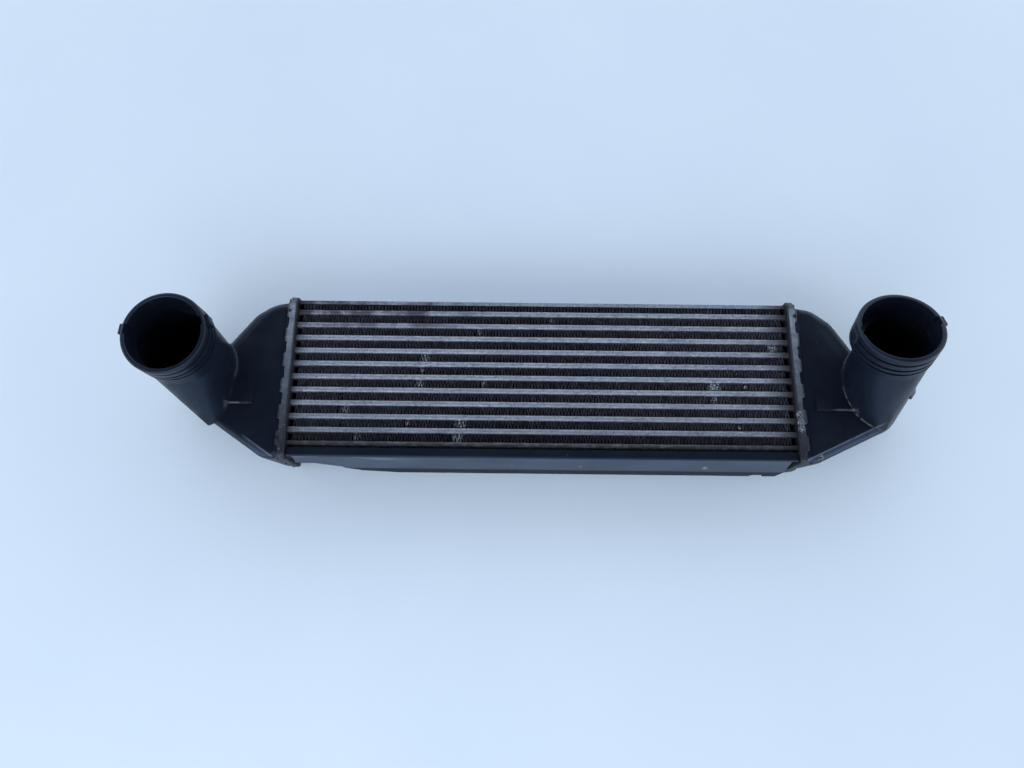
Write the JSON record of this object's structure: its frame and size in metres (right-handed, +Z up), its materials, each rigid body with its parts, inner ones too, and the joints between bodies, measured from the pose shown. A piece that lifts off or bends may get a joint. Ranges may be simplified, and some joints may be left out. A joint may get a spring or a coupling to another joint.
{
  "type": "intercooler",
  "caption": "Air-to-air intercooler: a brazed aluminium tube-and-fin core between two black plastic end tanks, each with an upturned round hose port.",
  "frame": {"origin": "on the surface that the cooler lies on, under the middle of the core's tube stack", "axes": "+X along the tubes towards the port that leans, +Y across the stack of tubes away from the air guide rail, +Z up through the core's depth, the way the ports face"},
  "size_m": [0.7781, 0.1777, 0.1583],
  "materials": {
    "tubes": "dull, oxidised",
    "fins": "dull, dirty",
    "headers": "dull, brushed",
    "black_plastic": "matte, moulded",
    "rubber": "matte"
  },
  "bodies": {
    "root": {"charge_air_tube_01": "tubes", "charge_air_tube_02": "tubes", "charge_air_tube_03": "tubes", "charge_air_tube_04": "tubes", "charge_air_tube_05": "tubes", "charge_air_tube_06": "tubes", "charge_air_tube_07": "tubes", "charge_air_tube_08": "tubes", "charge_air_tube_09": "tubes", "charge_air_tube_10": "tubes", "charge_air_tube_11": "tubes", "turbulator_01": "fins", "turbulator_02": "fins", "turbulator_03": "fins", "turbulator_04": "fins", "turbulator_05": "fins", "turbulator_06": "fins", "turbulator_07": "fins", "turbulator_08": "fins", "turbulator_09": "fins", "turbulator_10": "fins", "turbulator_11": "fins", "air_fin_01": "fins", "air_fin_02": "fins", "air_fin_03": "fins", "air_fin_04": "fins", "air_fin_05": "fins", "air_fin_06": "fins", "air_fin_07": "fins", "air_fin_08": "fins", "air_fin_09": "fins", "air_fin_10": "fins", "air_fin_11": "fins", "air_fin_12": "fins", "upper_side_plate": "tubes", "lower_side_plate": "tubes", "right_header_plate": "headers", "right_tank_gasket": "rubber", "right_end_tank": "black_plastic", "left_header_plate": "headers", "left_tank_gasket": "rubber", "left_end_tank": "black_plastic", "air_guide_rail": "black_plastic"}
  },
  "joints": []
}
